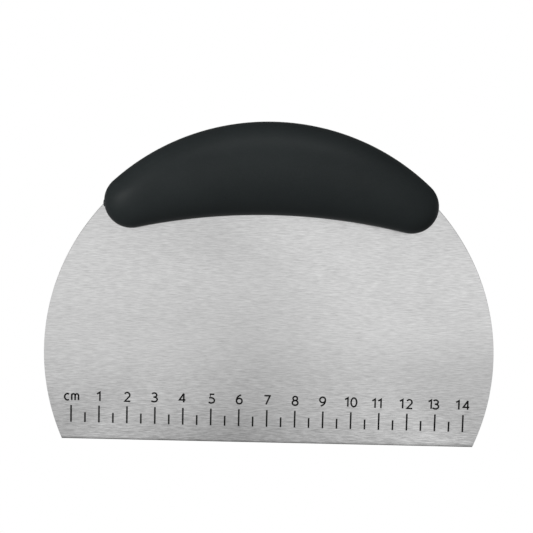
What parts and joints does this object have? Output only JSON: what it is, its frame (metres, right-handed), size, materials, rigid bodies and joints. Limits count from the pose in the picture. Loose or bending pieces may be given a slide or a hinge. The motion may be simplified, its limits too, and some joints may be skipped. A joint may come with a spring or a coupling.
{
  "type": "bench scraper",
  "caption": "Hand bench scraper with a D-shaped steel blade, a centimetre rule along its straight working edge and a curved black two-part handle along its round side.",
  "frame": {"origin": "middle of the blade's straight working edge, with the scraper upright on that edge", "axes": "+X along the working edge, from the rule's zero towards its 14; +Y through the blade, from the marked front face to the plain rear face; +Z from the working edge up to the handle"},
  "size_m": [0.16, 0.022, 0.1154],
  "materials": {
    "blade_steel": "fine horizontal brushed grain",
    "handle_plastic": "fine moulded matt texture",
    "screw_steel": "bright zinc plating",
    "plug_plastic": "fine moulded matt texture"
  },
  "bodies": {
    "root": {"blade": "blade_steel", "front_handle_shell": "handle_plastic", "rear_handle_shell": "handle_plastic", "screw_left": "screw_steel", "screw_centre": "screw_steel", "screw_right": "screw_steel", "plug_left": "plug_plastic", "plug_centre": "plug_plastic", "plug_right": "plug_plastic"}
  },
  "joints": []
}
